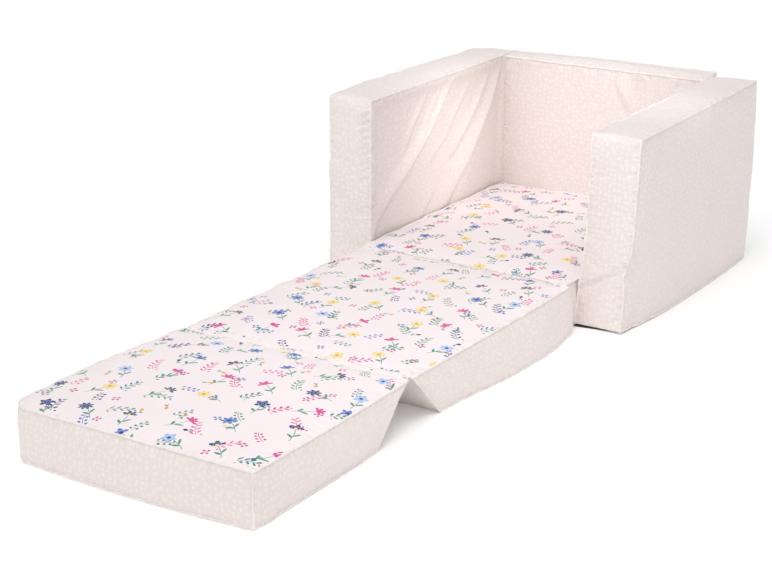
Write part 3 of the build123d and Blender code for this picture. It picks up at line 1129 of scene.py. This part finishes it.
def seam_strip(name, middle_y, rear_row, front_row, seed):
    """A narrow strip of the printed cloth, sewn across a folding seam."""
    low = max(rear_row[0, X], front_row[0, X]) + STRIP_INSET
    high = min(rear_row[-1, X], front_row[-1, X]) - STRIP_INSET
    size = (high - low, 2 * STRIP_REACH, STRIP_THICKNESS)
    lines = [rows(size[X], STRIP_STEP), np.linspace(0, size[Y], STRIP_ROWS), np.array((0, size[Z]))]
    raw, quads, sides, _ = box_surface(lines)
    points = raw + np.array((low, middle_y - STRIP_REACH, 0))
    share = raw[:, Y] / size[Y]
    front = np.interp(points[:, X], front_row[:, X], front_row[:, Z])
    rear = np.interp(points[:, X], rear_row[:, X], rear_row[:, Z])
    ripple = line_noise(points[:, X], STRIP_RIPPLE_LENGTH, seed) * STRIP_RIPPLE
    ridge = bell(share - 0.5, RIDGE_SHARE)
    points[:, Z] += front + (rear - front) * share - STRIP_SINK
    points[:, Z] += ridge * (STRIP_RIDGES[name] + ripple)
    middle_share = share[quads].mean(axis=1)
    # The middle band takes the second slot: darkened thread with painted groove shade on the seat's strip,
    # lighter welt cloth with painted highlight on the crease's strip
    slots = (np.abs(middle_share - 0.5) < MIDDLE_BAND_SHARE).astype(int)
    strip = mesh_object(name, points, quads, cloth_map(raw, quads, sides, seed), slots)
    start = (0, middle_y + STRIP_BEND, hinge_z)
    end = (0, middle_y - STRIP_BEND, hinge_z)
    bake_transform(strip)
    return strip


# Base cloth: its lattice, how its tab narrows, where it waves, and the strip of it that
# peeks out under the right arm
BASE_STEP = 0.012
BASE_FRONT_IN = 0.004
BASE_TAB_IN = 0.012
BASE_TAB_RUN = (-0.002, 0.016)
BASE_WAVE = 0.002
BASE_WAVE_LENGTH = 0.03
BASE_SIDE_SHARE = 0.9
BASE_NARROWS = 0.036
BASE_NARROWS_REACH = 0.12
PEEK = 0.0065
PEEK_RUN = 0.012
PEEK_DEPTHS = (0.03, 0.05)


def base_cloth():
    """Dark cloth stretched under the surround and the seat."""
    low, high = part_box("base_cloth")
    arms_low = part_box("left_arm_boxing")[0][1] + BASE_FRONT_IN
    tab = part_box("seat_printed_top")[1][0] - BASE_TAB_IN
    size = [high[axis] - low[axis] for axis in (X, Y, Z)]
    lines = [rows(size[X], BASE_STEP), rows(size[Y], BASE_STEP), np.array((0, size[Z]))]
    raw, quads, sides, _ = box_surface(lines)
    points = raw + np.array(low)
    share = smooth_step(points[:, Y], *[arms_low + place for place in BASE_TAB_RUN])
    points[:, X] *= (tab + (high[0] - tab) * share) / high[0]
    inset = BASE_WAVE * (1 + line_noise(raw[:, Y], BASE_WAVE_LENGTH, 5))
    at_side = np.abs(points[:, X]) > tab * BASE_SIDE_SHARE
    points[:, X] -= np.sign(points[:, X]) * inset * at_side
    centre = np.array((low[0] + REAR_RADIUS[-1], high[1] - REAR_RADIUS[-1]))
    out = points[:, :2] - centre
    reach = np.maximum(np.hypot(out[:, 0], out[:, 1]), 1e-9)
    at_corner = (out[:, 0] < 0) & (out[:, 1] > 0) & (reach > REAR_RADIUS[-1])
    points[at_corner, :2] = (centre + out * (REAR_RADIUS[-1] / reach)[:, None])[at_corner]
    near_front = 1 - smooth_step(points[:, Y], arms_low, arms_low + BASE_NARROWS_REACH)
    points[:, X] *= 1 - BASE_NARROWS * near_front * share
    peek = smooth_step(points[:, X], tab, tab + PEEK_RUN)
    peek = peek * (1 - smooth_step(raw[:, Y], *PEEK_DEPTHS))
    points[:, Y] -= peek * PEEK
    cloth = mesh_object("base_cloth_sheet", points, quads, cloth_map(raw, quads, sides, 9))
    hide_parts("base_cloth")
    top = sides == 5
    corners = points[quads[top]][:, :, :2]
    following = np.roll(corners, -1, axis=1)
    twice = corners[:, :, 0] * following[:, :, 1] - corners[:, :, 1] * following[:, :, 0]
    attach(cloth, "surround")
    return cloth


def build_object():
    dotted = dotted_cloth()
    printed = printed_cloth()
    dark = plain_material("dark_base_cloth", (0.05, 0.05, 0.06), 0.8, fine=True)
    # Cloth of the seam welts and of the crease strip's ridge, a little lighter than the covers: painted
    # highlight along the rolled seams
    welt_cloth_with_highlight = plain_material("piping_cloth", (0.86, 0.79, 0.76), 0.7)
    # Seam thread, darkened to stand in for the painted shade of the groove between the seat and the middle
    # pad
    thread_with_groove_shade = plain_material("seam_thread", (0.50, 0.33, 0.28), 0.8)
    tape = plain_material("zip_tape_cloth", (0.75, 0.68, 0.64), 0.75, fine=True)
    metal = plain_material("zip_slider_metal", (0.55, 0.55, 0.57), 0.35, metallic=1.0)
    for obj, welts in (arm("left", -1), arm("right", 1), back()):
        wear(obj, dotted)
        for welt in welts:
            wear(welt, welt_cloth_with_highlight)
    pads = (
        ("seat", "surround", 0, JOINT_BULGE, JOINT_BULGE, 61),
        ("middle_pad", "middle_pad", -1, JOINT_BULGE, JOINT_BULGE, 74),
        ("end_pad", "end_pad", 1, PAD_END_BULGE, JOINT_BULGE, 88),
    )
    tops = {}
    for label, *settings in pads:
        obj, welts, raw, points = pad(label, *settings)
        tops[label] = [top_row(raw, points, rear) for rear in (False, True)]
        wear(obj, dotted, printed)
        for welt in welts:
            wear(welt, welt_cloth_with_highlight)
    strips = (
        ("seat_seam_strip", hinge_y, ("surround", "middle_pad"), "seat", "middle_pad", 5),
        ("crease_seam_strip", crease_y, ("middle_pad", "end_pad"), "middle_pad", "end_pad", 6),
    )
    for name, middle_y, bodies, rear_pad, front_pad, seed in strips:
        strip = seam_strip(name, middle_y, tops[rear_pad][0], tops[front_pad][1], seed)
        wear(strip, printed, thread_with_groove_shade if name == "seat_seam_strip" else welt_cloth_with_highlight)
    wear(base_cloth(), dark)
    for name, node in frame["nodes"].items():
        if name.endswith("zip_tape"):
            wear(node, tape)
        if name.endswith("zip_slider"):
            wear(node, metal)


# Floor, lights and camera
FLOOR_DROP = 0.0005
WARM = (1, 0.975, 0.95)


def floor():
    size = 30
    points = np.array(((-size, -size, 0), (size, -size, 0), (size, size, 0), (-size, size, 0)))
    plane = mesh_object("floor", points.astype(float), np.array(((0, 1, 2, 3),)))
    material, _, shader = new_material("floor_paint")
    shader.inputs["Base Color"].default_value = (0.97, 0.97, 0.97, 1)
    shader.inputs["Emission Color"].default_value = (1, 1, 1, 1)
    shader.inputs["Emission Strength"].default_value = 0.09
    shader.inputs["Roughness"].default_value = 0.9
    shader.inputs["Specular IOR Level"].default_value = 0.1
    wear(plane, material)
    plane.location.z = -FLOOR_DROP


def put(name, data, turn, place=(0, 0, 0)):
    """Place a lamp or the camera and return it."""
    obj = bpy.data.objects.new(name, data)
    obj.location = place
    obj.rotation_mode = "QUATERNION"
    obj.rotation_quaternion = turn
    scene.collection.objects.link(obj)
    return obj


def facing(direction):
    return Vector(direction).to_track_quat("-Z", "Y")


def lamp(name, kind, place, aim, power):
    """A warm lamp aimed at a place."""
    data = bpy.data.lights.new(name, kind)
    data.energy = power
    data.color = WARM
    put(name, data, facing(Vector(aim) - Vector(place)), place)
    return data


def spot_light(name, place, aim, angle, power):
    data = lamp(name, "SPOT", place, aim, power)
    data.spot_size = math.radians(angle)
    data.spot_blend = 1
    data.shadow_soft_size = 0.12


def lights():
    """Even studio light, with a spot on the inner side of the left arm and on the back."""
    world = bpy.data.worlds.new("studio")
    scene.world = world
    world.use_nodes = True
    background = world.node_tree.nodes["Background"]
    background.inputs[0].default_value = (0.99, 0.995, 1, 1)
    background.inputs[1].default_value = 0.66
    near_front = lamp("near_front", "AREA", (0.5, -0.62, 1.05), (0.2, 0.2, 0.15), 2.95)
    near_front.shape = "DISK"
    near_front.size = 0.4
    spot_light("arm_spot", (1.0, 0.45, 1.0), (-0.229, 0.51, 0.23), 19, 40)
    spot_light("back_spot", (0.1, -0.9, 1.0), (0, 0.75, 0.27), 20, 32)
    ceiling = bpy.data.lights.new("ceiling", "SUN")
    ceiling.energy = 1.06
    ceiling.angle = math.radians(50)
    put("ceiling", ceiling, facing((0, 0.40, -0.92)))


def camera():
    """The photograph's viewpoint."""
    place = Vector((1.60767, -2.67617, 1.14645))
    forward = Vector((-0.50148, 0.8037, -0.32029))
    roll = math.radians(0.41)
    data = bpy.data.cameras.new("camera")
    data.sensor_width = 36
    data.lens = 84.06
    turn = facing(forward) @ Quaternion((0, 0, 1), roll)
    scene.camera = put("camera", data, turn, place)
    scene.view_settings.view_transform = "Standard"


build_object()
floor()
lights()
camera()
